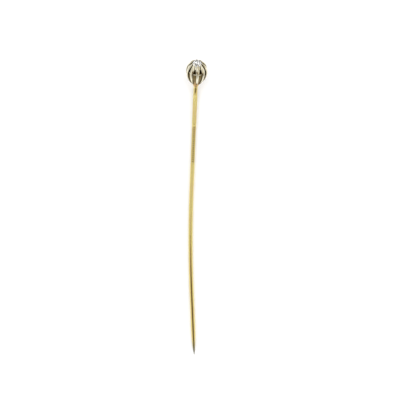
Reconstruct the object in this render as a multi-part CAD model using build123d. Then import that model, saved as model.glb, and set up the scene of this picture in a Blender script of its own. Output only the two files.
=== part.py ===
"""Stick pin with a small brilliant in a ten-claw bulb-shaped mount.

The pin lies on its stem, as it does on a bench. +Z is up from the surface, +Y runs along the
stem towards the head, and the origin is on the surface under the middle of the pin's box.
All lengths are in millimetres.

The mount has its own frame: +Z runs out through the middle of the stone, the origin is the
middle of the bulb, +X is to the right seen from above, and -Y is the side that faces up from
the surface. An outline of the mount is a list of (radius, height) pairs in that frame.
"""

from build123d import *

import os
from math import atan2, cos, exp, pi, radians, sin, tan

# ---------------------------------------------------------------- stem
STEM_RADIUS = 0.475          # round wire of the stem
SQUARE_CORNER = 0.20         # radius on the corners of the forged square length
PEG_RADIUS = 0.45            # top of the stem, inside the mount
NECK_BEND_RADIUS = 3.2       # middle line of the bend under the mount
SQUARE_START = 1.15          # distances along the stem from the corner of the neck bend
SQUARE_END = 7.55
GRIP_START = 7.95
GRIP_END = 16.15
BOW_START = 21.65
BOW_LENGTH = 22.6            # shallow bow in the middle of the stem
LOWER_LENGTH = 13.7          # from the bow to the point
POINT_LENGTH = 6.7           # tapered end
POINT_TIP_RADIUS = 0.05
TOP_HEADING = 2.25           # degrees that each straight run leans from the Y axis
LOWER_HEADING = 2.32
TOP_RISE = 0.05              # degrees that each straight run climbs towards the bow
LOWER_RISE = 0.085
GROOVE_PITCH = 0.44          # fine grooves of the grip
GROOVE_DEPTH = 0.06
GROOVE_SHARE = 0.4           # half of a groove's width, as a share of the pitch
SQUARE_BLEND = 0.45          # length over which the square's corners run out

# ---------------------------------------------------------------- mount
TILT = 38.0                  # degrees that the mount looks up from the stem
HEADING = 4.0                # degrees that it leans to the right, seen from above
SOLDER_GAP = 0.01            # room left at each soldered face
COLLAR_TOP = -2.68
COLLAR_BOTTOM = -3.30
COLLAR_RADIUS = 0.64
COLLAR_WAIST = 0.06          # depth of the collar's waist
COLLAR_BORE = PEG_RADIUS + SOLDER_GAP
PEG_TOP = -2.30              # riveted end inside the bowl
PEG_BOTTOM = -3.60           # where the straight peg meets the neck bend
SOLDER_REACH = 0.15          # fillet of solder under the collar
SOLDER_FOOT = 0.26
BOWL_WALL = 0.22
RIM_HEIGHT = 0.74            # top edge of the bowl
RAIL_WIRE_RADIUS = 0.11

# ---------------------------------------------------------------- stone
GIRDLE_RADIUS = 1.175
GIRDLE_HEIGHT = 2.55         # middle of the girdle above the middle of the bulb
GIRDLE_THICKNESS = 0.05
CROWN_HEIGHT = 0.40
TABLE_RADIUS = 0.62
PAVILION_DEPTH = 1.03
CULET_RADIUS = 0.05
SEAT_INNER_RADIUS = 1.00
SEAT_GAP = 0.035

# ---------------------------------------------------------------- claws
CLAW_COUNT = 10
FIRST_CLAW = 7.0             # degrees from the upper side to the nearest claw
CLAW_RIDGE = [               # foot, flank, belly, shoulder, girdle and tip of the ridge line
    (0.90, -2.62),
    (1.96, -1.25),
    (2.37, 0.35),
    (2.08, 1.88),
    (1.44, 2.66),
    (0.98, 2.99),
]
CLAW_THICKNESS = 0.29
CLAW_END_THICKNESS = 0.12
CLAW_FOOT_SHARE = 0.16       # shares of the claw's length over which its two ends thin out
CLAW_TIP_SHARE = 0.14
CLAW_HALF_ANGLE = 7.6        # degrees about the mount's axis along the rib
CLAW_PETAL_ANGLE = 6.0       # added at the shoulder
CLAW_PETAL_AT = 0.785        # share of the claw's length
CLAW_PETAL_SPREAD = 0.105
CLAW_BEVEL_SHARE = 0.45      # share of the thickness taken by the bevels of the ridge
CLAW_SECTIONS = 15


# ---------------------------------------------------------------- frames
def heading_vector(heading, rise=0.0):
    """Unit vector at a heading from +Y towards +X, raised by an angle, both in degrees."""
    level = cos(radians(rise))
    return Vector(sin(radians(heading)) * level, cos(radians(heading)) * level, sin(radians(rise)))


def upper_run():
    """Direction of the upper straight run, from the neck towards the bow."""
    return heading_vector(TOP_HEADING, -TOP_RISE) * -1


def lower_run():
    """Direction of the lower straight run, from the bow towards the point."""
    return heading_vector(-LOWER_HEADING, LOWER_RISE) * -1


def neck_tangent():
    """Distance from the corner of the neck bend to each end of its arc."""
    turn = heading_vector(HEADING, TILT).get_angle(upper_run() * -1)
    return NECK_BEND_RADIUS * tan(radians(turn) / 2)


def mount_plane():
    """The mount's frame. The corner of the neck bend is at (0, 0, STEM_RADIUS)."""
    axis = heading_vector(HEADING, TILT)
    across = Vector(cos(radians(HEADING)), -sin(radians(HEADING)), 0)
    centre = Vector(0, 0, STEM_RADIUS) + axis * (neck_tangent() - PEG_BOTTOM)
    return Plane(origin=centre, x_dir=across, z_dir=axis)


def stem_plane():
    """Frame of the upper straight run: Z runs from the neck's corner towards the point."""
    return Plane(origin=(0, 0, STEM_RADIUS), x_dir=(0, 0, 1), z_dir=upper_run())


def bow_points():
    """Start, middle and end of the bow. It lifts the middle of the stem just clear of the surface."""
    start = stem_plane().from_local_coords(Vector(0, 0, BOW_START))
    entry, leaving = upper_run(), lower_run()
    turn = radians(entry.get_angle(leaving))
    side = (leaving - entry * cos(turn)) * (1 / sin(turn))
    radius = BOW_LENGTH / turn
    middle = start + entry * (radius * sin(turn / 2)) + side * (radius * (1 - cos(turn / 2)))
    end = start + entry * (radius * sin(turn)) + side * (radius * (1 - cos(turn)))
    return start, middle, end


# ---------------------------------------------------------------- shapes turned about Z
def turned(points, smooth=None):
    """Solid of revolution about Z from (radius, height) points joined by straight lines.

    smooth is a second list of points. One curve through them closes the outline.
    """
    corners = [(r, 0, h) for r, h in points]
    lines = [Line(a, b) for a, b in zip(corners, corners[1:])]
    if smooth:
        lines.append(Spline(*[(r, 0, h) for r, h in smooth]))
    else:
        lines.append(Line(corners[-1], corners[0]))
    return revolve(make_face(lines), Axis.Z)


def rod(plane, radius, start, end):
    """Round rod along a plane's Z between two distances."""
    return plane.offset(start) * Cylinder(radius, end - start, align=(Align.CENTER, Align.CENTER, Align.MIN))


# ---------------------------------------------------------------- stem
def neck():
    """Bend between the peg and the upper straight run."""
    mount = mount_plane()
    start = mount.from_local_coords(Vector(0, 0, PEG_BOTTOM))
    end = stem_plane().from_local_coords(Vector(0, 0, neck_tangent()))
    arc = TangentArc(start, end, tangent=mount.z_dir * -1)
    return sweep(Plane(origin=start, z_dir=mount.z_dir * -1) * Circle(PEG_RADIUS), path=arc)


def square_length():
    """Forged square length below the neck. Its corners run out into round wire at both ends."""
    side = 2 * STEM_RADIUS
    square = extrude(RectangleRounded(side, side, SQUARE_CORNER), SQUARE_END - SQUARE_START)
    reach = side * 0.75
    envelope = turned(
        [
            (0, SQUARE_START),
            (PEG_RADIUS, SQUARE_START),
            (reach, SQUARE_START + SQUARE_BLEND),
            (reach, SQUARE_END - SQUARE_BLEND),
            (PEG_RADIUS, SQUARE_END),
            (0, SQUARE_END),
        ]
    )
    return stem_plane() * ((Pos(0, 0, SQUARE_START) * square) & envelope)


def grip():
    """Grooved length: fine V grooves, with a short cone up from the square."""
    outline = [(0, SQUARE_END), (PEG_RADIUS, SQUARE_END), (STEM_RADIUS, GRIP_START)]
    for i in range(int((GRIP_END - GRIP_START) / GROOVE_PITCH)):
        valley = GRIP_START + (i + 0.5) * GROOVE_PITCH
        outline += [
            (STEM_RADIUS, valley - GROOVE_SHARE * GROOVE_PITCH),
            (STEM_RADIUS - GROOVE_DEPTH, valley),
            (STEM_RADIUS, valley + GROOVE_SHARE * GROOVE_PITCH),
        ]
    outline += [(STEM_RADIUS, GRIP_END), (0, GRIP_END)]
    return stem_plane() * turned(outline)


def point(plane):
    """Tapered end, a slightly convex cone. The plane's Z runs along the lower straight run."""
    base = LOWER_LENGTH - POINT_LENGTH
    taper = [
        (STEM_RADIUS * (1 - share**2.6) + POINT_TIP_RADIUS * share**2.6, base + share * POINT_LENGTH)
        for share in (0, 0.3, 0.55, 0.8, 1)
    ]
    return plane * turned([taper[-1], (0, LOWER_LENGTH), (0, base), taper[0]], smooth=taper)


def pin_stem():
    """One length of wire: peg, neck bend, square, grooved grip, bow and point."""
    start, middle, end = bow_points()
    bow_section = Plane(origin=start, z_dir=upper_run()) * Circle(STEM_RADIUS)
    lower = Plane(origin=end, x_dir=(0, 0, 1), z_dir=lower_run())
    return (
        rod(mount_plane(), PEG_RADIUS, PEG_BOTTOM, PEG_TOP)
        + neck()
        + rod(stem_plane(), PEG_RADIUS, neck_tangent(), SQUARE_START)
        + square_length()
        + grip()
        + rod(stem_plane(), STEM_RADIUS, GRIP_END, BOW_START)
        + sweep(bow_section, path=ThreePointArc(start, middle, end))
        + rod(lower, STEM_RADIUS, 0, LOWER_LENGTH - POINT_LENGTH)
        + point(lower)
    )


def neck_solder():
    """Concave fillet of gold solder between the neck and the collar."""
    inner = PEG_RADIUS + SOLDER_GAP / 2
    top = COLLAR_BOTTOM - SOLDER_GAP
    hollow = [
        (inner + SOLDER_REACH, top),
        (inner + 0.40 * SOLDER_REACH, top - 0.25 * SOLDER_FOOT),
        (inner + 0.08 * SOLDER_REACH, top - SOLDER_FOOT),
    ]
    return mount_plane() * turned([hollow[-1], (inner, top - SOLDER_FOOT), (inner, top), hollow[0]], smooth=hollow)


# ---------------------------------------------------------------- mount
def base_collar():
    """Short turned collar with a bead at its foot. It joins the stem to the bowl."""
    bead_top = COLLAR_BOTTOM + 0.22
    waist = COLLAR_RADIUS - COLLAR_WAIST
    return mount_plane() * turned(
        [
            (COLLAR_BORE, COLLAR_BOTTOM),
            (COLLAR_RADIUS - 0.03, COLLAR_BOTTOM),
            (COLLAR_RADIUS, COLLAR_BOTTOM + 0.05),
            (COLLAR_RADIUS, bead_top),
            (waist, bead_top + 0.08),
            (COLLAR_RADIUS + 0.02, COLLAR_TOP - 0.10),
            (COLLAR_RADIUS + 0.08, COLLAR_TOP),
            (COLLAR_BORE, COLLAR_TOP),
        ]
    )


def claw_line():
    """Ridge line of a claw as a curve in the XZ plane."""
    return Spline(*[(r, 0, h) for r, h in CLAW_RIDGE])


def claw_thickness(share):
    """Thickness of a claw at a share of its length. Both ends thin out along a parabola."""
    foot = max(0, 1 - share / CLAW_FOOT_SHARE)
    tip = max(0, 1 - (1 - share) / CLAW_TIP_SHARE)
    return CLAW_THICKNESS - (CLAW_THICKNESS - CLAW_END_THICKNESS) * (foot**2 + tip**2)


def inside_claws(share, gap=0.0):
    """(radius, height) on a claw's inner face at a share of its length, less a gap."""
    line = claw_line()
    here, along = line @ share, line % share
    depth = claw_thickness(share) + gap
    return here.X - depth * along.Z, here.Z + depth * along.X


def claw():
    """One claw: a ridged strip from the collar up the bulb and over the girdle.

    Each section is a pentagon square to the ridge line. Its sides are radial, so neighbouring
    claws have even gaps, and its half-angle swells at the shoulder by a bell curve.
    """
    line = claw_line()
    outlines = []
    for i in range(CLAW_SECTIONS):
        share = i / (CLAW_SECTIONS - 1)
        swell = exp(-(((share - CLAW_PETAL_AT) / CLAW_PETAL_SPREAD) ** 2))
        spread = tan(radians(CLAW_HALF_ANGLE + CLAW_PETAL_ANGLE * swell))
        here, along = line @ share, line % share
        thick = claw_thickness(share)
        bevel = CLAW_BEVEL_SHARE * thick
        corners = []
        for depth, side in ((thick, -1), (thick, 1), (bevel, 1), (0, 0), (bevel, -1)):
            radius = here.X - depth * along.Z
            corners.append(Vector(side * radius * spread, -radius, here.Z + depth * along.X))
        outlines.append(Wire.make_polygon(corners, close=True))
    return Solid.make_loft(outlines)


def claw_share_at(height):
    """Share of a claw's length at which its inner face reaches a height, by halving."""
    low, high = 0.0, 0.95
    for _ in range(30):
        middle = (low + high) / 2
        if inside_claws(middle)[1] < height:
            low = middle
        else:
            high = middle
    return low


def bowl_face():
    """(radius, height) points of the bowl's outer face, from the collar up to the rim."""
    foot = (COLLAR_RADIUS + 0.06, COLLAR_TOP + SOLDER_GAP)
    rim = claw_share_at(RIM_HEIGHT)
    return [foot] + [inside_claws(0.12 + share * (rim - 0.12), 2 * SOLDER_GAP) for share in (0, 0.25, 0.5, 0.75, 1)]


def bowl():
    """Closed-bottom cup behind the claws, drilled for the peg."""
    outer = bowl_face()
    inner = [(max(r - BOWL_WALL, COLLAR_BORE), h + BOWL_WALL * 0.6) for r, h in outer[:-1]]
    rim = (outer[-1][0] - BOWL_WALL, outer[-1][1])
    return mount_plane() * turned([outer[0], (COLLAR_BORE, outer[0][1]), *inner, rim, outer[-1]], smooth=outer)


def lower_rail():
    """Round wire on the bowl's rim, inside the claws."""
    rim_radius, rim_height = bowl_face()[-1]
    ring = Torus(rim_radius - RAIL_WIRE_RADIUS - SOLDER_GAP, RAIL_WIRE_RADIUS)
    return mount_plane() * Pos(0, 0, rim_height + RAIL_WIRE_RADIUS + SOLDER_GAP) * ring


def seat_ring():
    """Conical bearing under the stone's girdle, soldered inside the claws."""
    slope = PAVILION_DEPTH / (GIRDLE_RADIUS - CULET_RADIUS)
    edge = GIRDLE_HEIGHT - GIRDLE_THICKNESS / 2 - SEAT_GAP
    upper = inside_claws(claw_share_at(edge - 0.08), 2 * SOLDER_GAP)
    lower = inside_claws(claw_share_at(edge - 0.50), 2 * SOLDER_GAP)
    return mount_plane() * turned(
        [
            lower,
            upper,
            (GIRDLE_RADIUS - 0.01, edge - 0.02),
            (SEAT_INNER_RADIUS, edge - slope * (GIRDLE_RADIUS - SEAT_INNER_RADIUS)),
            (lower[0] - 0.19, lower[1] - 0.14),
        ]
    )


def diamond():
    """Old European cut brilliant: tiers of flat facets cut from a round blank."""
    blank = Pos(0, 0, (CROWN_HEIGHT - PAVILION_DEPTH) / 2) * Cylinder(
        GIRDLE_RADIUS, CROWN_HEIGHT + PAVILION_DEPTH + GIRDLE_THICKNESS
    )
    crown = atan2(CROWN_HEIGHT, GIRDLE_RADIUS - TABLE_RADIUS)
    pavilion = atan2(PAVILION_DEPTH, GIRDLE_RADIUS - CULET_RADIUS)
    edge = GIRDLE_THICKNESS / 2
    # slope from the girdle plane, facets in the tier, turn in facets, height at the girdle, side
    tiers = [
        (crown, 8, 0.0, edge, 1),
        (crown * 0.60, 8, 0.5, edge + 0.115, 1),
        (crown * 1.17, 16, 0.5, edge, 1),
        (pavilion, 8, 0.0, edge, -1),
        (pavilion * 1.05, 16, 0.5, edge, -1),
    ]
    stone = blank
    for slope, count, offset, rise, side in tiers:
        for i in range(count):
            turn = 2 * pi * (i + offset) / count
            outward = Vector(sin(slope) * cos(turn), sin(slope) * sin(turn), side * cos(slope))
            touch = Vector(GIRDLE_RADIUS * cos(turn), GIRDLE_RADIUS * sin(turn), side * rise)
            stone = split(stone, bisect_by=Plane(origin=touch, z_dir=outward), keep=Keep.BOTTOM)
    return mount_plane() * Pos(0, 0, GIRDLE_HEIGHT) * stone


# ---------------------------------------------------------------- the whole pin
def assembly():
    """All named pieces. The corner of the neck bend is above the origin."""
    parts = {
        "pin_stem": pin_stem(),
        "neck_solder": neck_solder(),
        "base_collar": base_collar(),
        "bowl": bowl(),
        "lower_rail": lower_rail(),
        "seat_ring": seat_ring(),
        "diamond": diamond(),
    }
    one_claw = claw()
    for i in range(CLAW_COUNT):
        turn = FIRST_CLAW + i * 360 / CLAW_COUNT
        parts[f"claw_{i + 1:02d}"] = mount_plane() * Rot(0, 0, turn) * one_claw
    return parts


def main():
    """Moves the origin under the middle of the pin's box and writes one STEP file for each piece."""
    parts = assembly()
    box = Compound(children=[Part(p.wrapped) for p in parts.values()]).bounding_box()
    home = Pos(-(box.min.X + box.max.X) / 2, -(box.min.Y + box.max.Y) / 2, -box.min.Z)
    os.makedirs("parts", exist_ok=True)
    for name, part in parts.items():
        export_step(home * part, f"parts/{name}.step")
    print("size", box.size, "origin moved by", home.position)


main()
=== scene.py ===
"""Looks of a gold stick pin: one small brilliant in a bulb of ten ridged claws on a long stem.

Shapes are worked out in millimetres in the pin's own frame, +Y towards the head and +Z up from
the surface that the pin lies on, and are written to the meshes in metres. The mount has a frame
of its own: its third axis runs out through the middle of the stone.
"""

import logging
import math
from dataclasses import dataclass
from enum import Enum
from typing import Any, Optional, Sequence

import bpy
import numpy as np
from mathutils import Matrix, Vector

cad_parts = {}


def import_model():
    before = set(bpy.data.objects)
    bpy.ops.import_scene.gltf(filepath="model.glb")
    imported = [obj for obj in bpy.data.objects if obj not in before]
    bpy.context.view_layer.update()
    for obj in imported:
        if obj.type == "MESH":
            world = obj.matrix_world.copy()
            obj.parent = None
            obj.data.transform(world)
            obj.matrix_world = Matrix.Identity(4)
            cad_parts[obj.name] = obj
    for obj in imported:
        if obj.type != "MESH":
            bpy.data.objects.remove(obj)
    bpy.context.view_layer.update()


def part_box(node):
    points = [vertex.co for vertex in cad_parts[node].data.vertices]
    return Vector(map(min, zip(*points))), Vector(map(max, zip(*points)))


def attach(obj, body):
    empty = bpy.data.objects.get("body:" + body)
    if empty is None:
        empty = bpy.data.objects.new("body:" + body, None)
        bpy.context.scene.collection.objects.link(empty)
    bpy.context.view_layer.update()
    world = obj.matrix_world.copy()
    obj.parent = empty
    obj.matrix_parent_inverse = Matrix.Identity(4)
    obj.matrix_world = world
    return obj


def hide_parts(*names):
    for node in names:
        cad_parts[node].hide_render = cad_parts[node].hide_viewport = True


MM = 0.001
BODY = "root"
MARKS = ("shade_and_tarnish", "edge", "point_grey")
CREASE_ANGLE = 38.0
LOG = logging.getLogger("stick_pin")

Colour = tuple[float, float, float]
Stretch = tuple[float, float, float]
Corner = tuple[float, float, float]


class Slot(Enum):
    """Material slots of the record."""

    STEM = "yellow_gold"
    SOLDER = "gold_solder"
    MOUNT = "pale_gold"
    STONE = "diamond"


class Shading(Enum):
    """How light runs over a surface: soft with crisp corners, or flat facets."""

    SOFT = "soft"
    FLAT = "flat"


# ---------------------------------------------------------------- small geometry
def unit(vector: np.ndarray) -> np.ndarray:
    """The vector, or each row of vectors, scaled to length one."""
    return vector / np.linalg.norm(vector, axis=-1, keepdims=True)


def heading(turn: float, rise: float) -> np.ndarray:
    """Unit vector at a turn from +Y towards +X, raised by a rise, both in degrees."""
    turn, rise = math.radians(turn), math.radians(rise)
    return np.array([math.sin(turn) * math.cos(rise), math.cos(turn) * math.cos(rise), math.sin(rise)])


def smooth_step(values: np.ndarray, low: float, high: float) -> np.ndarray:
    """Rises from 0 at low to 1 at high along a cubic with level ends."""
    share = np.clip((values - low) / (high - low), 0.0, 1.0)
    return share * share * (3.0 - 2.0 * share)


@dataclass(frozen=True)
class Axes:
    """A right-handed frame: an origin and three unit vectors."""

    origin: np.ndarray
    across: np.ndarray
    along: np.ndarray

    @property
    def up(self) -> np.ndarray:
        """Second axis, square to the other two."""
        return np.cross(self.along, self.across)

    def place(self, points: np.ndarray) -> np.ndarray:
        """Points of this frame as points of the pin's frame.

        Args:
            points: array whose last axis holds x, y, z in this frame.

        Returns:
            An array of the same shape.
        """
        return self.origin + points @ np.stack((self.across, self.up, self.along))


@dataclass(frozen=True)
class Curve:
    """Cubic spline through flat points, read by share of its length."""

    knots: tuple[tuple[float, float], ...]
    checks: int = 2001

    @staticmethod
    def _end_slope(steps: np.ndarray, points: np.ndarray) -> np.ndarray:
        """Slope at the first of four points of the one cubic through them.

        Args:
            steps: the four points' places along the curve.
            points: the four points.

        Returns:
            The slope for each unit of length.
        """
        weights = []
        for i in range(1, 4):
            others = [j for j in range(1, 4) if j != i]
            top = np.prod([steps[0] - steps[j] for j in others])
            bottom = np.prod([steps[i] - steps[j] for j in others]) * (steps[i] - steps[0])
            weights.append(top / bottom)
        first = -sum(weights)
        return first * points[0] + sum(w * p for w, p in zip(weights, points[1:]))

    def read(self, shares: np.ndarray) -> tuple[np.ndarray, np.ndarray]:
        """Points and unit tangents at shares of the length.

        The spline has chord-length steps and continuous curvature. Its slopes at the knots come
        from the usual three-term equations, with the end slopes of the cubics through the first
        and the last four knots. Between two knots it is the cubic with those end slopes.

        Args:
            shares: shares of the length, from 0 to 1.

        Returns:
            Arrays of (radius, height) points and of unit tangents.
        """
        points = np.array(self.knots)
        gaps = np.linalg.norm(np.diff(points, axis=0), axis=1)
        steps = np.concatenate(([0.0], np.cumsum(gaps)))
        count = len(points)
        matrix, right = np.zeros((count, count)), np.zeros((count, 2))
        matrix[0, 0] = matrix[-1, -1] = 1.0
        right[0] = self._end_slope(steps[:4], points[:4])
        right[-1] = self._end_slope(steps[::-1][:4], points[::-1][:4])
        for i in range(1, count - 1):
            before, after = gaps[i - 1], gaps[i]
            matrix[i, i - 1 : i + 2] = after, 2.0 * (before + after), before
            chord_before = (points[i] - points[i - 1]) / before
            chord_after = (points[i + 1] - points[i]) / after
            right[i] = 3.0 * (after * chord_before + before * chord_after)
        slopes = np.linalg.solve(matrix, right)
        fine = np.linspace(0.0, steps[-1], self.checks)
        track, _ = self._between(points, slopes, steps, fine)
        run = np.concatenate(([0.0], np.cumsum(np.linalg.norm(np.diff(track, axis=0), axis=1))))
        where = np.interp(np.asarray(shares) * run[-1], run, fine)
        found, slope = self._between(points, slopes, steps, where)
        return found, unit(slope)

    @staticmethod
    def _between(
        points: np.ndarray, slopes: np.ndarray, steps: np.ndarray, where: np.ndarray
    ) -> tuple[np.ndarray, np.ndarray]:
        """Value and slope of the joined cubics, by the Hermite weights of their ends.

        Args:
            points: the knots.
            slopes: slopes at the knots.
            steps: the knots' places along the curve.
            where: places to read.

        Returns:
            Arrays of points and of slopes.
        """
        index = np.clip(np.searchsorted(steps, where, side="right") - 1, 0, len(steps) - 2)
        gap = (steps[index + 1] - steps[index])[:, None]
        t = (where - steps[index])[:, None] / gap
        a, b, u, v = points[index], points[index + 1], slopes[index] * gap, slopes[index + 1] * gap
        value = a * (2 * t**3 - 3 * t**2 + 1) + b * (3 * t**2 - 2 * t**3)
        value = value + u * (t**3 - 2 * t**2 + t) + v * (t**3 - t**2)
        slope = (a - b) * (6 * t**2 - 6 * t) + u * (3 * t**2 - 4 * t + 1) + v * (3 * t**2 - 2 * t)
        return value, slope / gap


def round_corners(outline: Sequence[tuple[float, float, float]], steps: int = 6) -> np.ndarray:
    """A closed flat outline with its corners rounded.

    Each corner becomes the parabola that touches its two sides at the given distance from the
    corner, so a distance of 0 leaves it sharp.

    Args:
        outline: (radius, height, distance) for each corner, in order.
        steps: points along each rounded corner.

    Returns:
        An array of (radius, height) points, the last joined to the first.
    """
    corners = np.array(outline, float)[:, :2]
    reach = np.array(outline, float)[:, 2]
    found = []
    for i, corner in enumerate(corners):
        before, after = corners[i - 1], corners[(i + 1) % len(corners)]
        if reach[i] <= 0.0:
            found.append(corner[None])
            continue
        start = corner + unit(before - corner) * reach[i]
        end = corner + unit(after - corner) * reach[i]
        t = np.linspace(0.0, 1.0, steps)[:, None]
        found.append((1 - t) ** 2 * start + 2 * t * (1 - t) * corner + t**2 * end)
    return np.concatenate(found)


@dataclass
class Skin:
    """A closed surface: points in millimetres, faces, and numbers kept at its points."""

    points: np.ndarray
    faces: list[tuple[int, ...]]
    marks: dict[str, np.ndarray]

    def volume(self) -> float:
        """Sum of the signed volumes between the faces' triangles and the origin.

        Returns:
            The volume, positive when the faces point outwards.
        """
        fans = np.array([(f[0], f[i], f[i + 1]) for f in self.faces for i in range(1, len(f) - 1)])
        a, b, c = (self.points[fans[:, i]] for i in range(3))
        return float(np.einsum("ij,ij->i", a, np.cross(b, c)).sum() / 6.0)

    def outward(self) -> "Skin":
        """Turns the faces round if they point inwards.

        Returns:
            This surface.
        """
        if self.volume() < 0.0:
            self.faces = [face[::-1] for face in self.faces]
        return self


def grid_skin(
    grid: np.ndarray, closed: bool, marks: Optional[dict[str, np.ndarray]] = None
) -> Skin:
    """Surface over a grid of rings, each ring joined end to end.

    Rings i and i + 1 are joined by four-sided faces. A closed grid joins its last ring to its
    first. An open one ends in a pole at the middle of each end ring.

    Args:
        grid: array of (ring, point, xyz).
        closed: whether the last ring meets the first.
        marks: arrays of (ring, point) numbers to keep at the points.

    Returns:
        The surface, with its faces outwards.
    """
    rings, around = grid.shape[:2]
    index = np.arange(rings * around).reshape(rings, around)
    if closed:
        index = np.concatenate((index, index[:1]))
    a, b = index[:-1], index[1:]
    quads = np.stack((a, np.roll(a, -1, 1), np.roll(b, -1, 1), b), axis=-1).reshape(-1, 4)
    points = grid.reshape(-1, 3)
    faces = [tuple(face) for face in quads.tolist()]
    kept = {name: mark.reshape(-1) for name, mark in (marks or {}).items()}
    if not closed:
        first, last = len(points), len(points) + 1
        points = np.concatenate((points, grid[0].mean(0)[None], grid[-1].mean(0)[None]))
        kept = {n: np.concatenate((m, m[:1], m[-1:])) for n, m in kept.items()}
        nearer = np.stack((np.roll(index[0], -1), index[0]), -1).tolist()
        farther = np.stack((index[-1], np.roll(index[-1], -1)), -1).tolist()
        faces += [(first, *pair) for pair in nearer] + [(last, *pair) for pair in farther]
    return Skin(points, faces, kept).outward()


def turned(
    profile: np.ndarray, axes: Axes, around: int = 144, shade_and_tarnish: Optional[np.ndarray] = None
) -> Skin:
    """Closed outline carried round the third axis of a frame.

    The point (r, h) of the outline is at (r sin a, -r cos a, h) for each angle a.

    Args:
        profile: array of (radius, height) points, the last joined to the first.
        axes: frame whose third axis is the axis of turning.
        around: number of angles.
        shade_and_tarnish: how dark each point of the outline is painted, from 0 to 1: painted shade with
            tarnish.

    Returns:
        The surface.
    """
    angle = np.arange(around) * 2.0 * math.pi / around
    radius, height = profile[:, :1], profile[:, 1:]
    level = np.repeat(height, around, axis=1)
    grid = np.stack((radius * np.sin(angle), -radius * np.cos(angle), level), -1)
    shades_and_tarnish = np.zeros(len(profile)) if shade_and_tarnish is None else shade_and_tarnish
    marks = {"shade_and_tarnish": np.repeat(shades_and_tarnish[:, None], around, axis=1)}
    return grid_skin(axes.place(grid), closed=True, marks=marks)


# ---------------------------------------------------------------- shader maths
class Value:
    """A socket on which Python's operators add Math nodes."""

    def __init__(self, graph: "Graph", socket: bpy.types.NodeSocket) -> None:
        """Keeps the socket and the graph that it belongs to."""
        self.graph = graph
        self.socket = socket

    def _math(self, operation: str, *terms: Any) -> "Value":
        """A Math node on the given terms."""
        return self.graph.node("ShaderNodeMath", {"operation": operation}, dict(enumerate(terms)))

    def __add__(self, other: Any) -> "Value":
        """Sum."""
        return self._math("ADD", self, other)

    def __radd__(self, other: Any) -> "Value":
        """Sum with a number on the left."""
        return self._math("ADD", other, self)

    def __sub__(self, other: Any) -> "Value":
        """Difference."""
        return self._math("SUBTRACT", self, other)

    def __rsub__(self, other: Any) -> "Value":
        """Difference with a number on the left."""
        return self._math("SUBTRACT", other, self)

    def __mul__(self, other: Any) -> "Value":
        """Product."""
        return self._math("MULTIPLY", self, other)

    def __rmul__(self, other: Any) -> "Value":
        """Product with a number on the left."""
        return self._math("MULTIPLY", other, self)

    def between(self, low: float, high: float) -> "Value":
        """Rises smoothly from 0 at low to 1 at high."""
        inputs = {"Value": self, "From Min": low, "From Max": high}
        return self.graph.node("ShaderNodeMapRange", {"interpolation_type": "SMOOTHSTEP"}, inputs)


class Graph:
    """Nodes of one material."""

    def __init__(self, name: str) -> None:
        """Makes an empty node material.

        Args:
            name: the material's name.
        """
        self.material = bpy.data.materials.new(name)
        self.material.use_nodes = True
        self.tree = self.material.node_tree
        self.tree.nodes.clear()

    def node(
        self, kind: str, settings: dict[str, Any], inputs: dict[Any, Any], output: Any = 0
    ) -> Value:
        """Adds a node.

        Args:
            kind: Blender's name for the type of node.
            settings: properties, set before any input.
            inputs: numbers, colours or values by the socket's name or index.
            output: name or index of the output to return.

        Returns:
            The chosen output.
        """
        made = self.tree.nodes.new(kind)
        for name, value in settings.items():
            setattr(made, name, value)
        for key, value in inputs.items():
            if isinstance(value, Value):
                self.tree.links.new(value.socket, made.inputs[key])
            else:
                made.inputs[key].default_value = value
        return Value(self, made.outputs[output])

    def place(self, stretch: Stretch) -> Value:
        """Object coordinates in millimetres, multiplied by a stretch on each axis.

        Args:
            stretch: the three multipliers.

        Returns:
            The coordinates.
        """
        here = self.node("ShaderNodeTexCoord", {}, {}, "Object")
        scale = tuple(s / MM for s in stretch)
        return self.node("ShaderNodeVectorMath", {"operation": "MULTIPLY"}, {0: here, 1: scale})

    def noise(self, stretch: Stretch, detail: float = 2.0, roughness: float = 0.5) -> Value:
        """Soft noise with about one blob for each unit of the stretched coordinates."""
        wanted = {"Vector": self.place(stretch), "Scale": 1.0, "Detail": detail, "Roughness": roughness}
        return self.node("ShaderNodeTexNoise", {}, wanted)

    def cells(self, stretch: Stretch) -> Value:
        """Distance to the nearest of scattered points, for pits and dings."""
        wanted = {"Vector": self.place(stretch), "Scale": 1.0}
        return self.node("ShaderNodeTexVoronoi", {}, wanted, "Distance")

    def mark(self, name: str) -> Value:
        """A number that the piece's mesh keeps at its points."""
        return self.node("ShaderNodeAttribute", {"attribute_name": name}, {}, "Fac")

    def blend(self, factor: Any, low: Any, high: Any) -> Value:
        """Colour between two colours.

        Args:
            factor: 0 for the first colour and 1 for the second.
            low: the first colour.
            high: the second colour.

        Returns:
            The colour.
        """
        low = low if isinstance(low, Value) else (*low, 1.0)
        high = high if isinstance(high, Value) else (*high, 1.0)
        return self.node("ShaderNodeMix", {"data_type": "RGBA"}, {0: factor, 6: low, 7: high}, 2)

    def bump(
        self, height: Value, depth: float, strength: float = 1.0, under: Optional[Value] = None
    ) -> Value:
        """Normal that leans as a relief would.

        Args:
            height: the relief, from 0 to 1.
            depth: its depth in millimetres.
            strength: share of the lean that is kept.
            under: a normal that the relief is added to.

        Returns:
            The normal.
        """
        inputs = {"Height": height, "Distance": depth * MM, "Strength": strength}
        if under is not None:
            inputs["Normal"] = under
        return self.node("ShaderNodeBump", {}, inputs)

    def finish(self, inputs: dict[str, Any]) -> bpy.types.Material:
        """Joins a Principled shader to the output.

        Args:
            inputs: numbers, colours or values by the name of the shader's socket.

        Returns:
            The material.
        """
        shader = self.node("ShaderNodeBsdfPrincipled", {}, inputs)
        surface = self.tree.nodes.new("ShaderNodeOutputMaterial").inputs["Surface"]
        self.tree.links.new(shader.socket, surface)
        return self.material


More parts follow.
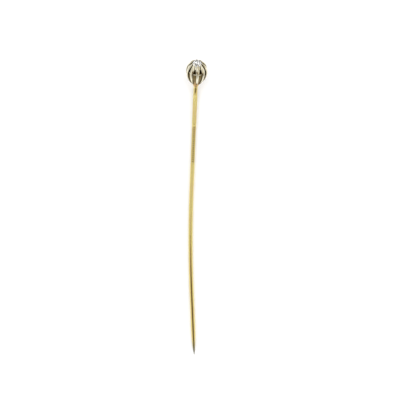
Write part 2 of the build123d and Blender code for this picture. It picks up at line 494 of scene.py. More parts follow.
# ---------------------------------------------------------------- finishes
@dataclass(frozen=True)
class GoldFinish:
    """Old polished gold: lengthwise polishing lines, small dings, warmer patches, tarnish and painted
    shade.
    """

    name: str
    colour: Colour
    warm: Colour
    # Dark colour of the darkening mark: painted shade with tarnish. The mottle also blends towards it.
    shade_and_tarnish: Colour
    roughness: float
    lines: Stretch
    # Grey that the point is painted towards.
    point_grey: Colour = (0.22, 0.22, 0.19)
    patches: Stretch = (0.45, 0.30, 0.45)
    mottle: Stretch = (2.6, 2.6, 2.6)
    dings: Stretch = (1.9, 1.3, 1.9)
    warm_share: float = 0.6
    mottle_share: float = 0.18
    unevenness: float = 0.5
    line_depth: float = 0.0016
    ding_depth: float = 0.006
    ding_strength: float = 0.5
    line_roughness: float = 0.16
    mottle_roughness: float = 0.07
    hollow_roughness: float = 0.30
    ding_roughness: float = 0.05
    edge_polish: float = 0.05

    def make(self) -> bpy.types.Material:
        """Builds the material.

        Slow noise warms the colour in patches. Noise drawn out along the polishing direction
        gives fine lines, which lean the normal and roughen the surface a little, and scattered
        cells give dings. The darkening mark blends towards the dark colour and dulls the surface:
        painted shade with tarnish. The mark edge keeps ridges bright and smooth, and the greying
        mark greys the point.

        Returns:
            The material.
        """
        graph = Graph(self.name)
        shade_and_tarnish, edge = graph.mark("shade_and_tarnish"), graph.mark("edge")
        patches = graph.noise(self.patches, 3.0, 0.6).between(0.35, 0.70)
        mottle = graph.noise(self.mottle, 4.0, 0.65)
        lines = graph.noise(self.lines, 3.0, 0.7)
        dings = 1.0 - graph.cells(self.dings).between(0.02, 0.16)
        uneven = (mottle - 0.5) * self.unevenness * shade_and_tarnish
        # Painted shade with tarnish: where the darkening mark is high, the colour goes dark and the
        # surface dull.
        darkening = (shade_and_tarnish * 1.1 + uneven).between(0.25, 1.0)
        colour = graph.blend(patches * self.warm_share, self.colour, self.warm)
        colour = graph.blend(mottle.between(0.52, 0.78) * self.mottle_share, colour, self.shade_and_tarnish)
        colour = graph.blend(darkening, colour, self.shade_and_tarnish)
        # The point is painted grey.
        colour = graph.blend(graph.mark("point_grey") * (0.75 + mottle * 0.5), colour, self.point_grey)
        rough = self.roughness + (lines - 0.5) * self.line_roughness
        rough = rough + mottle.between(0.45, 0.75) * self.mottle_roughness
        rough = rough + darkening * self.hollow_roughness - edge * self.edge_polish
        rough = rough + dings * self.ding_roughness
        fine = graph.bump(lines, self.line_depth)
        relief = graph.bump(1.0 - dings, self.ding_depth, self.ding_strength, fine)
        return graph.finish({"Base Color": colour, "Metallic": 1.0, "Roughness": rough, "Normal": relief})


@dataclass(frozen=True)
class StoneFinish:
    """Clear diamond with a trace of warmth and the faintest polish lines on its facets."""

    name: str = "cut diamond"
    tint: Colour = (0.985, 0.98, 0.965)
    cape: Colour = (0.96, 0.945, 0.90)
    cape_share: float = 0.5
    drift: Stretch = (0.9, 0.9, 0.9)
    polish: Stretch = (40.0, 6.0, 24.0)
    polish_depth: float = 0.0002
    polish_strength: float = 0.3
    polish_roughness: float = 0.02
    refraction: float = 2.417

    def make(self) -> bpy.types.Material:
        """Builds the material: a dense clear body whose polish varies very slightly.

        Returns:
            The material.
        """
        graph = Graph(self.name)
        drift = graph.noise(self.drift)
        polish = graph.noise(self.polish)
        inputs = {
            "Base Color": graph.blend(drift.between(0.35, 0.7) * self.cape_share, self.tint, self.cape),
            "Roughness": polish.between(0.55, 0.8) * self.polish_roughness,
            "IOR": self.refraction,
            "Transmission Weight": 1.0,
            "Normal": graph.bump(polish, self.polish_depth, self.polish_strength),
        }
        return graph.finish(inputs)


@dataclass(frozen=True)
class PaperFinish:
    """Smooth paper of the studio floor and of the cards."""

    name: str = "white paper"
    colour: Colour = (0.93, 0.93, 0.93)
    shade: Colour = (0.90, 0.90, 0.90)
    drift: Stretch = (0.02, 0.02, 0.02)
    grain: Stretch = (3.0, 3.0, 3.0)
    grain_depth: float = 0.01
    grain_strength: float = 0.2
    roughness: float = 0.9

    def make(self) -> bpy.types.Material:
        """Builds the material: a matt colour with a barely visible drift and a fine grain.

        Returns:
            The material.
        """
        graph = Graph(self.name)
        drift = graph.noise(self.drift, 3.0)
        grain = graph.noise(self.grain, 4.0)
        colour = graph.blend(drift, self.shade, self.colour)
        normal = graph.bump(grain, self.grain_depth, self.grain_strength)
        return graph.finish({"Base Color": colour, "Roughness": self.roughness, "Normal": normal})


# Its dark colour is painted shade with tarnish in the grooves of the grip, and darkens the neck.
STEM_GOLD = GoldFinish(
    name="yellow gold wire",
    colour=(0.82, 0.69, 0.27),
    warm=(0.82, 0.62, 0.29),
    shade_and_tarnish=(0.36, 0.26, 0.09),
    roughness=0.20,
    lines=(16.0, 0.9, 16.0),
)
# Darker than the stem's gold, with a darker colour for its darkening mark: painted shade for the bowl in
# the gaps between the claws.
BOWL_GOLD = GoldFinish(
    name="yellow gold bowl",
    colour=(0.72, 0.50, 0.25),
    warm=(0.74, 0.45, 0.22),
    shade_and_tarnish=(0.22, 0.165, 0.07),
    roughness=0.24,
    lines=(3.0, 11.0, 11.0),
    hollow_roughness=0.08,
    unevenness=1.4,
)
# Its dark colour is painted shade on the flanks and feet of the claws.
CLAW_GOLD = GoldFinish(
    name="pale gold claws",
    colour=(0.80, 0.76, 0.60),
    warm=(0.76, 0.67, 0.44),
    shade_and_tarnish=(0.20, 0.165, 0.085),
    roughness=0.16,
    lines=(14.0, 3.0, 5.0),
)
COLLAR_GOLD = GoldFinish(
    name="yellow gold collar",
    colour=(0.72, 0.53, 0.26),
    warm=(0.74, 0.48, 0.25),
    shade_and_tarnish=(0.24, 0.19, 0.08),
    roughness=0.24,
    lines=(3.0, 11.0, 11.0),
)
SOLDER_GOLD = GoldFinish(
    name="gold solder",
    colour=(0.66, 0.50, 0.22),
    warm=(0.70, 0.46, 0.20),
    shade_and_tarnish=(0.30, 0.22, 0.09),
    roughness=0.34,
    lines=(6.0, 6.0, 6.0),
)


# ---------------------------------------------------------------- pieces
def make_piece(
    name: str,
    skin: Skin,
    material: bpy.types.Material,
    node: str,
    shading: Shading = Shading.SOFT,
) -> bpy.types.Object:
    """Puts a surface into the scene as a piece that stands for a node.

    Args:
        name: the piece's name.
        skin: its surface, in millimetres.
        material: its finish.
        node: the node that it stands for.
        shading: soft with crisp corners, or flat facets.

    Returns:
        The piece.
    """
    mesh = bpy.data.meshes.new(name)
    mesh.from_pydata((skin.points * MM).tolist(), [], skin.faces)
    for mark in MARKS:
        values = skin.marks.get(mark, np.zeros(len(skin.points)))
        layer = mesh.attributes.new(mark, "FLOAT", "POINT")
        layer.data.foreach_set("value", values.astype(np.float32))
    mesh.polygons.foreach_set("use_smooth", np.full(len(mesh.polygons), shading is Shading.SOFT))
    mesh.materials.append(material)
    mesh.update()
    mesh.validate()
    if shading is Shading.SOFT:
        mesh.set_sharp_from_angle(angle=math.radians(CREASE_ANGLE))
    piece = bpy.data.objects.new(name, mesh)
    bpy.context.scene.collection.objects.link(piece)
    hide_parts(node)
    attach(piece, BODY)
    LOG.info("%s: %d points for %s", name, len(skin.points), node)
    return piece


@dataclass(frozen=True)
class MountFrame:
    """Where the mount stands on the stem."""

    tilt: float = 38.0
    heading: float = 4.0
    rail_height: float = 0.858

    def axes(self) -> Axes:
        """The mount's frame, from the middle of the round rail, which lies on its axis.

        Returns:
            A frame whose origin is the middle of the bulb.
        """
        low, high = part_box("lower_rail")
        middle = np.array((low + high) / 2.0) / MM
        along = heading(self.heading, self.tilt)
        turn = math.radians(self.heading)
        across = np.array([math.cos(turn), -math.sin(turn), 0.0])
        return Axes(middle - along * self.rail_height, across, along)


@dataclass(frozen=True)
class ClawShape:
    """Sizes of a claw: a ridged strip up the bulb that swells at the shoulder and hooks over."""

    count: int = 10
    first: float = 7.0
    ridge: Curve = Curve(
        ((0.90, -2.62), (1.96, -1.25), (2.368, 0.35), (2.08, 1.88), (1.44, 2.66), (0.98, 2.99))
    )
    thickness: float = 0.29
    end_thickness: float = 0.12
    foot_share: float = 0.16
    tip_share: float = 0.14
    half_angle: float = 7.6
    petal_angle: float = 6.0
    petal_at: float = 0.785
    petal_spread: float = 0.105
    bevel_share: float = 0.45
    ridge_softness: float = 0.10
    edge_round: float = 0.035
    edge_from: float = 0.80
    inner_width: float = 0.94
    side_depth: float = 0.90
    bead_from: float = 0.965
    bead_squeeze: float = 0.93
    sections: int = 110
    end_crowding: float = 0.35
    roof_points: int = 21
    inner_points: int = 7
    unshaded_depth: float = 0.11
    shade_rate: float = 2.0
    foot_shade: float = 0.85
    foot_clears: tuple[float, float] = (0.10, 0.40)
    bright_edge: float = 0.16

    def thick(self, share: np.ndarray) -> np.ndarray:
        """Thickness of the claw. Both ends thin out along a parabola.

        Args:
            share: shares of the length.

        Returns:
            The thickness at each share.
        """
        foot = np.maximum(0.0, 1.0 - share / self.foot_share)
        tip = np.maximum(0.0, 1.0 - (1.0 - share) / self.tip_share)
        return self.thickness - (self.thickness - self.end_thickness) * (foot**2 + tip**2)

    def inside(self, shares: np.ndarray, gap: float = 0.0) -> np.ndarray:
        """Points in the middle of the inner face.

        Args:
            shares: shares of the length.
            gap: distance to stay clear of the face.

        Returns:
            An array of (radius, height) points.
        """
        here, along = self.ridge.read(shares)
        depth = self.thick(shares) + gap
        return here + depth[:, None] * np.stack((-along[:, 1], along[:, 0]), -1)

    def share_at(self, height: float) -> float:
        """Share of the length at which the inner face reaches a height."""
        shares = np.linspace(0.0, 0.95, 800)
        return float(np.interp(height, self.inside(shares)[:, 1], shares))

    def spread(self, share: np.ndarray) -> np.ndarray:
        """Half-width for each unit of radius, with a bell-shaped swell at the shoulder."""
        swell = np.exp(-(((share - self.petal_at) / self.petal_spread) ** 2))
        return np.tan(np.radians(self.half_angle + self.petal_angle * swell))

    def skin(self, axes: Axes, turn: float) -> Skin:
        """One claw, turned about the mount's axis.

        A section is a loop. Its roof crosses from one side to the other, and its depth under the
        ridge line is that of a hyperbola, so the ridge is a narrow round edge and not a knife.
        Quarter rounds lead from the roof into radial sides, and the inner face is flat. Near
        the tip the loop shrinks along a quarter circle, so the hook ends in a smooth bead. The
        darkening mark grows with depth and towards the foot, as painted shade on the flanks and
        feet, and the mark edge follows the ridge.

        Args:
            axes: the mount's frame.
            turn: degrees from the upper side.

        Returns:
            The surface.
        """
        t = 0.5 - 0.5 * np.cos(np.linspace(0.0, math.pi, self.sections))
        crowding = self.end_crowding
        share = crowding * t + (1.0 - crowding) * np.linspace(0.0, 1.0, self.sections)
        here, along = self.ridge.read(share)
        thick, spread = self.thick(share)[:, None], self.spread(share)[:, None]
        side = np.linspace(-1.0, 1.0, self.roof_points)
        soft = self.ridge_softness
        roof = (np.sqrt(side**2 + soft**2) - soft) / (math.sqrt(1.0 + soft**2) - soft)
        fall = np.clip((np.abs(side) - self.edge_from) / (1.0 - self.edge_from), 0.0, 1.0)
        lip = 1.0 - np.sqrt(1.0 - fall**2 * 0.999)
        outer = self.bevel_share * thick * roof + self.edge_round * lip * (thick / self.thickness)
        inner = np.linspace(self.inner_width, -self.inner_width, self.inner_points)
        inner_side = np.concatenate(([1.0], inner, [-1.0]))
        inner_rise = np.where(np.abs(inner_side) >= 1.0, self.side_depth, 1.0)
        depth = np.concatenate((outer, thick * inner_rise), axis=1)
        aside = np.broadcast_to(np.concatenate((side, inner_side)), depth.shape)
        ends = np.sqrt(1.0 - smooth_step(share, self.bead_from, 1.0)[:, None] ** 2 * self.bead_squeeze)
        middle = 0.5 * thick
        depth = middle + (depth - middle) * ends
        radius = here[:, :1] - depth * along[:, 1:]
        height = here[:, 1:] + depth * along[:, :1]
        local = np.stack((aside * ends * radius * spread, -radius, height), -1)
        cosine, sine = math.cos(math.radians(turn)), math.sin(math.radians(turn))
        spin = np.array([[cosine, sine, 0.0], [-sine, cosine, 0.0], [0.0, 0.0, 1.0]])
        # Painted shade: darker with depth under the ridge, so on the flanks and sides, and towards the
        # foot.
        shade_and_tarnish = np.clip((depth / thick - self.unshaded_depth) * self.shade_rate, 0.0, 1.0)
        foot = 1.0 - smooth_step(share, *self.foot_clears)[:, None]
        shade_and_tarnish = np.maximum(shade_and_tarnish, self.foot_shade * foot)
        edge = np.exp(-((aside / self.bright_edge) ** 2)) * (depth < middle)
        return grid_skin(axes.place(local @ spin), closed=False, marks={"shade_and_tarnish": shade_and_tarnish, "edge": edge})


@dataclass(frozen=True)
class StoneCut:
    """Old European cut: a small table, a high crown, a deep pavilion and an open culet."""

    girdle_radius: float = 1.175
    girdle_height: float = 2.55
    girdle_thickness: float = 0.05
    crown: float = 0.40
    table_radius: float = 0.62
    star_radius: float = 0.90
    pavilion: float = 1.03
    culet_radius: float = 0.05
    lower_radius: float = 0.34

    def _side(self, small: float, middle: float, depth: float, sign: float) -> np.ndarray:
        """Rings of one side of the stone: 8 corners, 8 between them, and 16 on the girdle.

        The middle ring lies where the main facets meet: each main facet is the plane through a
        small corner and the girdle below it, so its height is read on that line at the middle
        radius times the cosine of half a step.

        Args:
            small: radius of the small face's corners.
            middle: radius of the corners between.
            depth: height of the small face over the girdle's edge.
            sign: 1 for the crown and -1 for the pavilion.

        Returns:
            An array of 32 points.
        """
        step = math.pi / 8.0
        edge = self.girdle_thickness / 2.0
        share = (self.girdle_radius - middle * math.cos(step)) / (self.girdle_radius - small)
        rings = (
            (small, edge + depth, 8, 0.0),
            (middle, edge + depth * share, 8, step),
            (self.girdle_radius, edge, 16, 0.0),
        )
        found = []
        for radius, height, count, start in rings:
            angle = start + np.arange(count) * 2.0 * math.pi / count
            level = np.full(count, self.girdle_height + sign * height)
            found.append(np.stack((radius * np.cos(angle), radius * np.sin(angle), level), -1))
        return np.concatenate(found)

    @staticmethod
    def _facets(first: int) -> list[tuple[int, ...]]:
        """Facets of one side: the small face, 8 stars, 8 mains and 16 halves.

        Args:
            first: number of the side's first point.

        Returns:
            The corners of each facet.
        """
        small, middle, girdle = first, first + 8, first + 16
        faces = [tuple(range(small, small + 8))]
        for i in range(8):
            after, before = (i + 1) % 8, (i - 1) % 8
            near, next_one, far = 2 * i, 2 * i + 1, (2 * i + 2) % 16
            faces.append((small + i, middle + i, small + after))
            faces.append((small + i, middle + before, girdle + near, middle + i))
            faces.append((middle + i, girdle + near, girdle + next_one))
            faces.append((middle + i, girdle + next_one, girdle + far))
        return faces

    def skin(self, axes: Axes) -> Skin:
        """The stone: crown and pavilion joined by the girdle's narrow band.

        Args:
            axes: the mount's frame.

        Returns:
            The surface.
        """
        crown = self._side(self.table_radius, self.star_radius, self.crown, 1.0)
        pavilion = self._side(self.culet_radius, self.lower_radius, self.pavilion, -1.0)
        faces = self._facets(0) + [face[::-1] for face in self._facets(32)]
        for k in range(16):
            after = (k + 1) % 16
            faces.append((16 + k, 48 + k, 48 + after, 16 + after))
        return Skin(axes.place(np.concatenate((crown, pavilion))), faces, {}).outward()


@dataclass(frozen=True)
class Head:
    """The mount: claws, bowl, rail, bearing and stone."""

    axes: Axes
    claws: ClawShape = ClawShape()
    stone: StoneCut = StoneCut()
    gap: float = 0.01
    bowl_wall: float = 0.22
    rim_height: float = 0.74
    rim_round: float = 0.06
    rim_step: float = 0.05
    bowl_from: float = 0.12
    floor_rise: float = 0.6
    bowl_shade_rise: tuple[float, float] = (-2.3, -0.9)
    bore: float = 0.46
    collar_top: float = -2.68
    foot_radius: float = 0.70
    rail_wire: float = 0.11
    rail_points: int = 28
    seat_inner: float = 1.00
    seat_gap: float = 0.035
    seat_top: float = 0.08
    seat_foot: float = 0.50

    def bowl_face(self, count: int = 48) -> np.ndarray:
        """Outer face of the bowl, which follows the claws' inner faces from its foot to the rim.

        Args:
            count: points along the claws.

        Returns:
            An array of (radius, height) points.
        """
        rim = self.claws.share_at(self.rim_height)
        foot = np.array([[self.foot_radius, self.collar_top + self.gap]])
        shares = np.linspace(self.bowl_from, rim, count)
        return np.concatenate((foot, self.claws.inside(shares, 2.0 * self.gap)))

    def bowl(self) -> Skin:
        """The cup behind the claws: its outer face, a rounded rim, the inner face and the bore.

        The inner face is the outer one moved in by the wall and up by three fifths of it. The
        darkening mark rises from the foot to the middle of the bowl and stays full above it: painted
        shade for the bowl where it shows between the claws.

        Returns:
            The surface.
        """
        outer = self.bowl_face()
        turn = np.linspace(0.0, math.pi, 9)[1:-1]
        middle = outer[-1] - np.array([self.bowl_wall / 2.0, self.rim_round])
        rim = middle + np.stack((np.cos(turn) * self.bowl_wall / 2.0, np.sin(turn) * self.rim_round), -1)
        outer[-1, 1] -= self.rim_round
        inner = outer[::-1][1:] + np.array([-self.bowl_wall, self.floor_rise * self.bowl_wall])
        inner[:, 0] = np.maximum(inner[:, 0], self.bore)
        inner = inner[inner[:, 1] < outer[-1, 1] - self.rim_step]
        floor = np.array([[self.bore, outer[0, 1]]])
        profile = np.concatenate((outer, rim, inner, floor))
        # Painted shade: the bowl darkens from the foot up to its middle and is fully dark above it.
        return turned(profile, self.axes, shade_and_tarnish=smooth_step(profile[:, 1], *self.bowl_shade_rise))

    def rail(self) -> Skin:
        """Round wire on the bowl's rim: a circle of wire carried round the axis.

        Returns:
            The surface.
        """
        rim_radius, rim_height = self.bowl_face()[-1]
        reach = self.rail_wire + self.gap
        middle = np.array([rim_radius - reach, rim_height + reach])
        turn = np.arange(self.rail_points) * 2.0 * math.pi / self.rail_points
        circle = np.stack((np.cos(turn), np.sin(turn)), -1) * self.rail_wire
        return turned(middle + circle, self.axes)

    def seat(self) -> Skin:
        """Conical bearing under the girdle, with its corners eased.

        Returns:
            The surface.
        """
        stone = self.stone
        slope = stone.pavilion / (stone.girdle_radius - stone.culet_radius)
        edge = stone.girdle_height - stone.girdle_thickness / 2.0 - self.seat_gap
        heights = (edge - self.seat_top, edge - self.seat_foot)
        shares = np.array([self.claws.share_at(height) for height in heights])
        upper, lower = self.claws.inside(shares, 2.0 * self.gap)
        inner = edge - slope * (stone.girdle_radius - self.seat_inner)
        outline = [
            (lower[0], lower[1], 0.03),
            (upper[0], upper[1], 0.02),
            (stone.girdle_radius - 0.01, edge - 0.02, 0.02),
            (self.seat_inner, inner, 0.03),
            (lower[0] - 0.19, lower[1] - 0.14, 0.04),
        ]
        return turned(round_corners(outline), self.axes)

    def build(self) -> None:
        """Makes every piece of the head and dresses it."""
        claw_gold, bowl_gold = CLAW_GOLD.make(), BOWL_GOLD.make()
        for i in range(self.claws.count):
            turn = self.claws.first + i * 360.0 / self.claws.count
            skin = self.claws.skin(self.axes, turn)
            make_piece(f"ridged_claw_{i + 1:02d}", skin, claw_gold, f"claw_{i + 1:02d}")
        make_piece("polished_bowl", self.bowl(), bowl_gold, "bowl")
        make_piece("rim_rail", self.rail(), claw_gold, "lower_rail")
        make_piece("stone_bearing", self.seat(), claw_gold, "seat_ring")
        stone, clear = self.stone.skin(self.axes), StoneFinish().make()
        make_piece("old_cut_brilliant", stone, clear, "diamond", Shading.FLAT)


@dataclass(frozen=True)
class Run:
    """A straight length, or an arc that turns towards a side."""

    start: np.ndarray
    ahead: np.ndarray
    length: float
    side: Optional[np.ndarray] = None
    radius: float = 0.0

    def at(self, distance: np.ndarray) -> tuple[np.ndarray, np.ndarray]:
        """Points and tangents at distances from the start.

        A straight run moves by the distance. An arc moves by radius times the sine of the turn
        ahead and radius times one less its cosine to the side.

        Args:
            distance: distances along the run.

        Returns:
            Arrays of points and of unit tangents.
        """
        reach = distance[:, None]
        if self.side is None:
            return self.start + self.ahead * reach, np.broadcast_to(self.ahead, (len(distance), 3))
        turn = reach / self.radius
        moved = self.ahead * np.sin(turn) + self.side * (1.0 - np.cos(turn))
        return self.start + moved * self.radius, self.ahead * np.cos(turn) + self.side * np.sin(turn)

    def end(self) -> tuple[np.ndarray, np.ndarray]:
        """Point and tangent at the far end."""
        point, tangent = self.at(np.array([self.length]))
        return point[0], tangent[0]


def arc(start: np.ndarray, ahead: np.ndarray, leaving: np.ndarray, length: float) -> Run:
    """Arc from one direction to another.

    Args:
        start: where it starts.
        ahead: unit tangent at the start.
        leaving: unit tangent at the end.
        length: length of the arc.

    Returns:
        The arc.
    """
    turn = math.acos(float(np.clip(ahead @ leaving, -1.0, 1.0)))
    side = (leaving - ahead * math.cos(turn)) / math.sin(turn)
    return Run(start, ahead, length, side, length / turn)


@dataclass(frozen=True)
class Stem:
    """The stem with its collar and fillet of solder."""

    axes: Axes
    radius: float = 0.475
    square_corner: float = 0.20
    peg_radius: float = 0.45
    peg_top: float = -2.30
    peg_bottom: float = -3.60
    bend_radius: float = 3.2
    square_start: float = 1.15
    square_end: float = 7.55
    square_blend: float = 0.45
    grip_start: float = 7.95
    grip_end: float = 16.15
    bow_start: float = 21.65
    bow_length: float = 22.6
    lower_length: float = 13.7
    point_length: float = 6.7
    point_power: float = 2.6
    point_crowding: float = 1.6
    tip_radius: float = 0.05
    top_heading: float = 2.25
    lower_heading: float = 2.32
    top_rise: float = 0.05
    lower_rise: float = 0.085
    groove_pitch: float = 0.44
    groove_depth: float = 0.06
    groove_share: float = 0.4
    groove_starts: int = 2
    groove_fade: float = 0.2
    neck_darkening: float = 0.42
    point_grey_share: float = 0.9
    point_grey_grows: tuple[float, float] = (0.35, 0.95)
    around: int = 96
    collar_bottom: float = -3.30
    collar_top: float = -2.68
    collar_radius: float = 0.64
    collar_waist: float = 0.06
    collar_flare: float = 0.08
    collar_bore: float = 0.46
    bead_height: float = 0.22
    bead_bulge: float = 0.05
    groove_width: float = 0.02
    solder_reach: float = 0.15
    solder_edge: float = 0.01
    solder_foot: float = 0.26
    gap: float = 0.01

    def runs(self) -> tuple[list[Run], float]:
        """The wire's middle line as peg, neck bend, upper run, bow and lower run.

        Returns:
            The runs in order from the peg, and the distance from the neck's corner to the bend.
        """
        down = -self.axes.along
        upper = -heading(self.top_heading, -self.top_rise)
        lower = -heading(-self.lower_heading, self.lower_rise)
        turn = math.acos(float(down @ upper))
        tangent = self.bend_radius * math.tan(turn / 2.0)
        peg = Run(self.axes.origin + self.axes.along * self.peg_top, down, self.peg_top - self.peg_bottom)
        bend = arc(peg.end()[0], down, upper, self.bend_radius * turn)
        upper_run = Run(bend.end()[0], upper, self.bow_start - tangent)
        bow = arc(upper_run.end()[0], upper, lower, self.bow_length)
        return [peg, bend, upper_run, bow, Run(bow.end()[0], lower, self.lower_length)], tangent

    def stations(self) -> list[np.ndarray]:
        """Distances at which rings stand, closer together where the wire changes.

        The upper run has a count for each of its lengths: neck, blend, square, blend, step,
        grip and plain wire. The point's rings crowd towards its tip.

        Returns:
            An array of distances for each run.
        """
        runs, tangent = self.runs()
        ends = [tangent, *self.square_knots(), self.grip_start, self.grip_end, self.bow_start]
        counts = (3, 14, 30, 14, 6, 290, 30)
        lengths = zip(ends, ends[1:], counts)
        upper = [np.linspace(start, end, count, endpoint=False) for start, end, count in lengths]
        straight = self.lower_length - self.point_length
        share = 1.0 - (1.0 - np.linspace(0.0, 1.0, 60)) ** self.point_crowding
        lower = np.linspace(0.0, straight, 36, endpoint=False)
        return [
            np.linspace(0.0, runs[0].length, 6, endpoint=False),
            np.linspace(0.0, runs[1].length, 22, endpoint=False),
            np.concatenate(upper) - tangent,
            np.linspace(0.0, runs[3].length, 110, endpoint=False),
            np.concatenate((lower, straight + self.point_length * share)),
        ]

    def square_knots(self) -> list[float]:
        """Where the square length starts, is full, stops being full, and ends."""
        start, end, blend = self.square_start, self.square_end, self.square_blend
        return [start, start + blend, end - blend, end]

    def _square(self, angle: np.ndarray) -> np.ndarray:
        """Distance from the middle to a square with rounded corners, at each angle.

        On a flat it is the half side over the cosine. On a corner it is where the ray meets the
        corner's circle, by the quadratic formula.

        Args:
            angle: angles round the wire.

        Returns:
            The distance at each angle.
        """
        corner = self.square_corner
        inner = self.radius - corner
        parts = np.abs((np.cos(angle), np.sin(angle)))
        big, small = parts.max(axis=0), parts.min(axis=0)
        flat = self.radius / big
        under = np.maximum(corner**2 - inner**2 * (big - small) ** 2, 0.0)
        return np.where(flat * small <= inner, flat, inner * (big + small) + np.sqrt(under))

    def _upper_radius(self, along: np.ndarray, angle: np.ndarray) -> tuple[np.ndarray, np.ndarray]:
        """Radius and groove depth on the upper run.

        The square length is the smaller of the square and a turned envelope that rises from the
        peg's radius at each end. The grip's two grooves are V-shaped helices: the phase is the
        distance in pitches plus the angle in turns, and the depth falls off on both sides of
        the half phase. Its ends fade in and out over a fifth of a millimetre.

        Args:
            along: column of distances from the neck's corner.
            angle: row of angles round the wire.

        Returns:
            Arrays of radii and of groove depths from 0 to 1.
        """
        knots = [*self.square_knots(), self.grip_start]
        wide = 1.5 * self.radius
        radii = [self.peg_radius, wide, wide, self.peg_radius, self.radius]
        envelope = np.interp(along, knots, radii)
        plain = np.broadcast_to(envelope, np.broadcast_shapes(along.shape, angle.shape))
        inside = (along > self.square_start) & (along < self.square_end)
        radius = np.where(inside, np.minimum(plain, self._square(angle)), plain)
        pitch = self.groove_pitch * self.groove_starts
        phase = ((along - self.grip_start) / pitch + angle / (2.0 * math.pi)) * self.groove_starts
        off = np.abs(phase - np.floor(phase) - 0.5)
        fade = smooth_step(along, self.grip_start, self.grip_start + self.groove_fade)
        fade = fade - smooth_step(along, self.grip_end - self.groove_fade, self.grip_end)
        groove = np.clip(1.0 - off / self.groove_share, 0.0, 1.0) * fade
        return radius - self.groove_depth * groove, groove

    def wire(self) -> Skin:
        """The whole wire: a section carried along its middle line.

        Each section stands square to the line. Its first direction is as near to upwards as
        that allows, and its second is to the side. Along the point the radius is the wire's
        times one less the share to a power, plus the tip's times that power. The darkening mark
        is on the neck and in the grooves, where it is painted shade with tarnish, and the greying
        mark grows along the point.

        Returns:
            The surface.
        """
        runs, tangent = self.runs()
        angle = (np.arange(self.around) * 2.0 * math.pi / self.around)[None, :]
        rings, shades_and_tarnish, point_greys = [], [], []
        for index, (run, distance) in enumerate(zip(runs, self.stations())):
            middle, ahead = run.at(distance)
            on_neck = index < 2
            radius = np.full((len(distance), self.around), self.peg_radius if on_neck else self.radius)
            # Darker on the neck. _upper_radius gives painted shade with tarnish in the grip's grooves.
            shade_and_tarnish = np.full_like(radius, self.neck_darkening if on_neck else 0.0)
            point_grey = np.zeros_like(radius)
            if index == 2:
                radius, shade_and_tarnish = self._upper_radius(distance[:, None] + tangent, angle)
            if index == 4:
                share = 1.0 - (self.lower_length - distance) / self.point_length
                share = np.clip(share, 0.0, 1.0)[:, None]
                # The point is painted greyer towards its tip.
                point_grey = point_grey + self.point_grey_share * smooth_step(share, *self.point_grey_grows)
                bend = share**self.point_power
                taper = self.radius * (1.0 - bend) + self.tip_radius * bend
                radius = np.broadcast_to(taper, radius.shape)
            upward = unit(np.array([0.0, 0.0, 1.0]) - ahead[:, 2:] * ahead)
            sideways = np.cross(ahead, upward)
            ring = middle[:, None, :] + (radius * np.cos(angle))[..., None] * upward[:, None, :]
            rings.append(ring + (radius * np.sin(angle))[..., None] * sideways[:, None, :])
            shades_and_tarnish.append(shade_and_tarnish)
            point_greys.append(point_grey)
        shade_and_tarnish = np.concatenate(shades_and_tarnish)
        marks = {"shade_and_tarnish": shade_and_tarnish, "edge": 1.0 - shade_and_tarnish, "point_grey": np.concatenate(point_greys)}
        return grid_skin(np.concatenate(rings), closed=False, marks=marks)

    def collar(self) -> Skin:
        """Turned collar: a bead at its foot, a concave waist and a flare under the bowl.

        The waist is a half wave of cosine between the bead and the flare.

        Returns:
            The surface.
        """
        bead_top = self.collar_bottom + self.bead_height
        turn = np.linspace(-0.5 * math.pi, 0.5 * math.pi, 15)
        middle = 0.5 * (self.collar_bottom + bead_top)
        bead_radius = self.collar_radius - self.bead_bulge + self.bead_bulge * np.cos(turn)
        bead = np.stack((bead_radius, middle + 0.5 * self.bead_height * np.sin(turn)), -1)
        rise = np.linspace(0.0, 1.0, 18)
        low, high = bead_top + self.groove_width, self.collar_top - self.groove_width
        dip = self.collar_waist * np.cos(math.pi * (rise - 0.35)) * (1.0 - rise)
        waist_radius = self.collar_radius - dip + self.collar_flare * rise**2
        waist = np.stack((waist_radius, low + (high - low) * rise), -1)
        ends = [
            [self.collar_radius + self.collar_flare, self.collar_top],
            [self.collar_bore, self.collar_top],
            [self.collar_bore, self.collar_bottom],
        ]
        return turned(np.concatenate((bead, waist, ends)), self.axes, 96)

    def solder(self) -> Skin:
        """Fillet under the collar, whose face is a quarter of an ellipse curving inwards.

        Returns:
            The surface.
        """
        inner = self.peg_radius + self.gap / 2.0
        top = self.collar_bottom - self.gap
        turn = np.linspace(0.0, 0.5 * math.pi, 14)
        radius = inner + self.solder_edge + self.solder_reach * (1.0 - np.sin(turn))
        face = np.stack((radius, top - self.solder_foot * (1.0 - np.cos(turn))), -1)
        back = [[inner, top - self.solder_foot], [inner, top]]
        return turned(np.concatenate((face, back)), self.axes, 72)

    def build(self) -> None:
        """Makes the wire, the collar and the solder and dresses them."""
        stem_gold = STEM_GOLD.make()
        make_piece("stem_wire", self.wire(), stem_gold, "pin_stem")
        make_piece("turned_collar", self.collar(), COLLAR_GOLD.make(), "base_collar")
        make_piece("solder_fillet", self.solder(), SOLDER_GOLD.make(), "neck_solder")


# ---------------------------------------------------------------- studio
@dataclass(frozen=True)
class Softbox:
    """A large soft white lamp aimed at the middle of the pin."""

    name: str
    place: Corner
    radiance: float
    width: float = 420.0
    depth: float = 300.0

    def build(self) -> None:
        """Adds the lamp. Its power is its radiance times its area times pi."""
        data = bpy.data.lights.new(self.name, "AREA")
        data.shape = "RECTANGLE"
        data.size, data.size_y = self.width * MM, self.depth * MM
        data.energy = self.radiance * math.pi * data.size * data.size_y
        lamp = bpy.data.objects.new(self.name, data)
        lamp.visible_glossy = False
        lamp.location = Vector(self.place) * MM
        lamp.rotation_euler = (-lamp.location).to_track_quat("-Z", "Y").to_euler()
        bpy.context.scene.collection.objects.link(lamp)


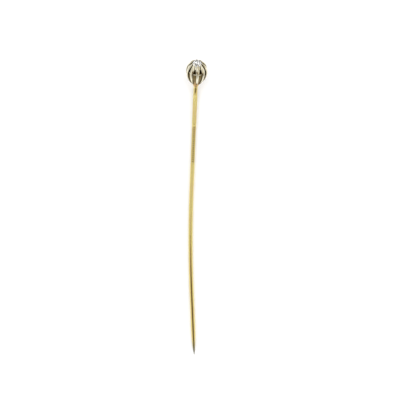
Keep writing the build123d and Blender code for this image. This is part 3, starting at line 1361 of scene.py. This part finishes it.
@dataclass(frozen=True)
class Card:
    """A coloured card that shows only in reflections, so that polished metal has darks in it."""

    name: str
    corners: tuple[Corner, ...]
    colour: Colour
    through_stone: bool = False
    shade: float = 0.85

    def build(self) -> None:
        """Adds the card as part of the stage. It casts no shadow and the camera misses it."""
        mesh = bpy.data.meshes.new(self.name)
        face = tuple(range(len(self.corners)))
        mesh.from_pydata([Vector(corner) * MM for corner in self.corners], [], [face])
        shade = tuple(self.shade * part for part in self.colour)
        mesh.materials.append(PaperFinish(self.name, self.colour, shade).make())
        card = bpy.data.objects.new(self.name, mesh)
        card.visible_camera = card.visible_diffuse = card.visible_shadow = False
        card.visible_transmission = self.through_stone
        bpy.context.scene.collection.objects.link(card)


@dataclass(frozen=True)
class Studio:
    """White paper, soft lamps, cards for reflections and a camera that looks straight down."""

    aim: tuple[float, float] = (0.71, 1.57)
    view_width: float = 87.68
    height: float = 1200.0
    sensor: float = 36.0
    floor_size: float = 3000.0
    sky: float = 0.78
    card_height: float = 85.0

    def lamps(self) -> list[Softbox]:
        """The lamps: one at each side and one at each end.

        Returns:
            The lamps, not yet built.
        """
        return [
            Softbox("left lamp", (-330.0, 20.0, 210.0), 1.50),
            Softbox("right lamp", (330.0, 20.0, 210.0), 1.40),
            Softbox("head lamp", (0.0, 330.0, 230.0), 1.30),
            Softbox("point lamp", (0.0, -330.0, 230.0), 1.30),
        ]

    def floor(self) -> None:
        """Wide sheet of paper at height 0."""
        half = self.floor_size * MM / 2.0
        mesh = bpy.data.meshes.new("paper")
        corners = [(-half, -half, 0.0), (half, -half, 0.0), (half, half, 0.0), (-half, half, 0.0)]
        mesh.from_pydata(corners, [], [(0, 1, 2, 3)])
        mesh.materials.append(PaperFinish().make())
        paper = bpy.data.objects.new("paper", mesh)
        bpy.context.scene.collection.objects.link(paper)

    def cards(self) -> list[Card]:
        """The cards: two over the lower stem, a white one above the head and one beside it.

        Returns:
            The cards, not yet built.
        """
        lower = ((60, -13), (-60, -13), (-60, -95), (-70, -450), (330, -450), (200, -95), (60, -95))
        middle = ((60, -6), (-60, -6), (-60, -13), (60, -13))
        above = ((45, 27.5), (-60, 27.5), (-60, 75), (45, 75))
        side = ((18.0, 16.0, 3.0), (18.0, 50.0, 3.0), (11.0, 50.0, 15.0), (11.0, 16.0, 15.0))
        return [
            Card("lower card", self.level(lower), (0.12, 0.078, 0.034)),
            Card("middle card", self.level(middle), (0.44, 0.36, 0.24)),
            Card("white card", self.level(above), (0.95, 0.95, 0.94), True),
            Card("side card", side, (0.62, 0.56, 0.43)),
        ]

    def level(self, outline: Sequence[tuple[float, float]]) -> tuple[Corner, ...]:
        """Corners of a card that lies level at the cards' height."""
        return tuple((float(x), float(y), self.card_height) for x, y in outline)

    def camera(self) -> None:
        """Camera over the aim, with the head of the pin at the top of its view."""
        data = bpy.data.cameras.new("camera")
        data.sensor_width = self.sensor
        data.lens = self.sensor * self.height / self.view_width
        data.clip_start, data.clip_end = 0.01, 10.0
        camera = bpy.data.objects.new("camera", data)
        camera.location = Vector((*self.aim, self.height)) * MM
        bpy.context.scene.collection.objects.link(camera)
        bpy.context.scene.camera = camera

    def build(self) -> None:
        """Makes the floor, the lamps, the even sky and the camera."""
        self.floor()
        for card in self.cards():
            card.build()
        for lamp in self.lamps():
            lamp.build()
        world = bpy.data.worlds.new("even sky")
        world.use_nodes = True
        background = world.node_tree.nodes["Background"]
        background.inputs["Color"].default_value = (1.0, 1.0, 1.0, 1.0)
        background.inputs["Strength"].default_value = self.sky
        bpy.context.scene.world = world
        bpy.context.scene.view_settings.view_transform = "Standard"
        self.camera()


def main() -> None:
    """Builds the stem, the head and the studio in order."""
    logging.basicConfig(level=logging.INFO, format="%(name)s: %(message)s")
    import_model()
    axes = MountFrame().axes()
    Stem(axes).build()
    Head(axes).build()
    Studio().build()


if __name__ == "__main__":
    main()
